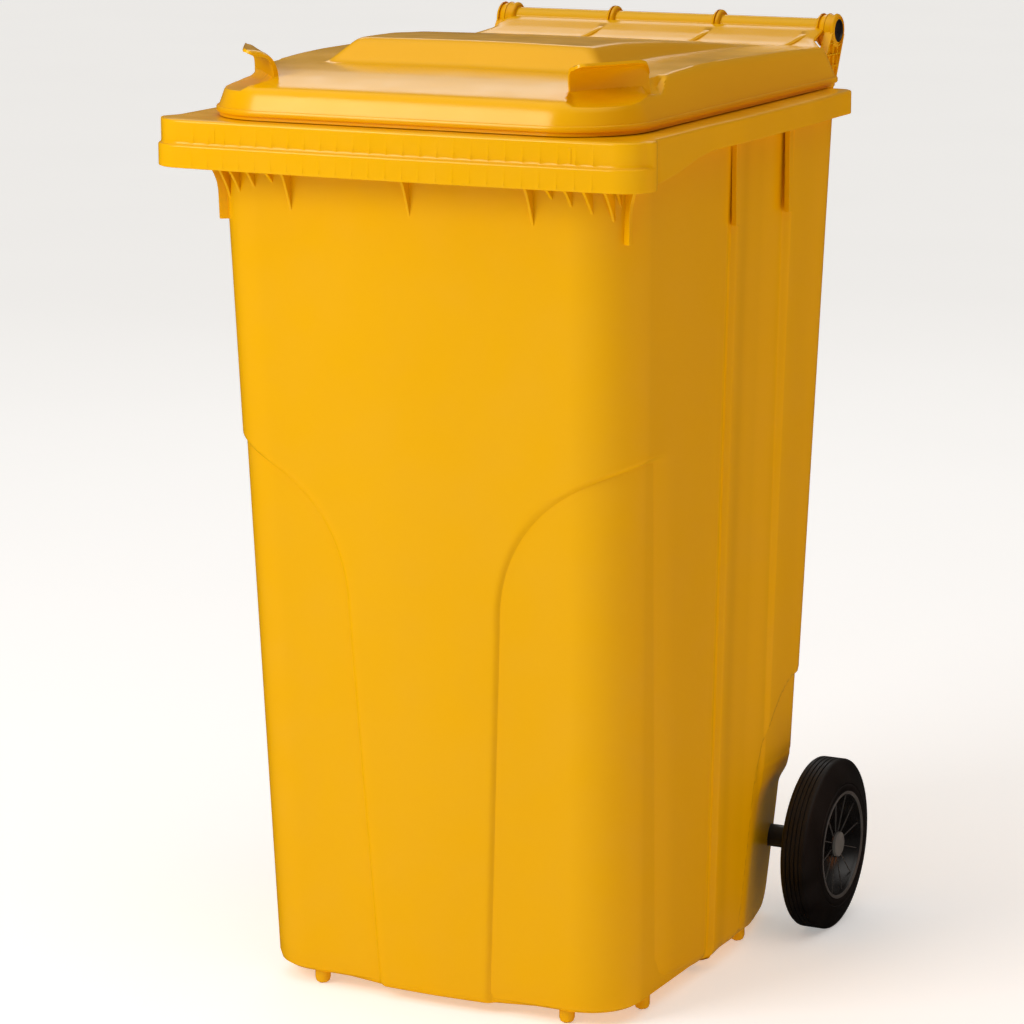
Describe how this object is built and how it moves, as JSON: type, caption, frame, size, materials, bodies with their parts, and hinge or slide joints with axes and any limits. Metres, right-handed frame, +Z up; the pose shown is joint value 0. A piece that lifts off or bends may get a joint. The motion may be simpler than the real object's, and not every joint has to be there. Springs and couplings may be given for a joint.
{
  "type": "wheelie bin",
  "caption": "Tall tapered two-wheeled refuse bin with a hinged crowned lid, corner lifting tabs, a comb rim, and a round grab tube at the hinge.",
  "frame": {"origin": "on the floor under the middle of the whole bin", "axes": "+Z up, +Y from the front face towards the wheels and hinge, +X across to the right seen from the front"},
  "size_m": [0.598, 0.7274, 1.0518],
  "materials": {
    "tub_plastic": "satin moulded polyethylene",
    "lid_plastic": "satin moulded polyethylene",
    "tube_plastic": "satin moulded polyethylene",
    "axle_steel": "galvanised bar",
    "black_plastic": "satin",
    "wheel_plastic": "glossy",
    "tyre_rubber": "matt",
    "catch_steel": "bright",
    "cap_plastic": "satin"
  },
  "bodies": {
    "container": {"container": "tub_plastic", "handle_tube": "tube_plastic", "axle": "axle_steel", "hinge_plug_right": "black_plastic", "hinge_plug_left": "black_plastic", "axle_sleeve_right": "black_plastic", "axle_sleeve_left": "black_plastic"},
    "lid": {"lid": "lid_plastic"},
    "wheel_right": {"wheel_core_right": "wheel_plastic", "tyre_right": "tyre_rubber", "wheel_catch_right": "catch_steel", "hub_cap_right": "cap_plastic"},
    "wheel_left": {"wheel_core_left": "wheel_plastic", "tyre_left": "tyre_rubber", "wheel_catch_left": "catch_steel", "hub_cap_left": "cap_plastic"}
  },
  "joints": [
    {"name": "lid_hinge", "type": "hinge", "parent": "container", "child": "lid", "pos_m": [0, 0.34425, 1.0305], "axis": [-1, 0, 0], "range_deg": [0, 270]},
    {"name": "wheel_right_spin", "type": "hinge", "parent": "container", "child": "wheel_right", "pos_m": [0.275, 0.19165, 0.1], "axis": [1, 0, 0], "continuous": true},
    {"name": "wheel_left_spin", "type": "hinge", "parent": "container", "child": "wheel_left", "pos_m": [-0.275, 0.19165, 0.1], "axis": [1, 0, 0], "continuous": true}
  ]
}
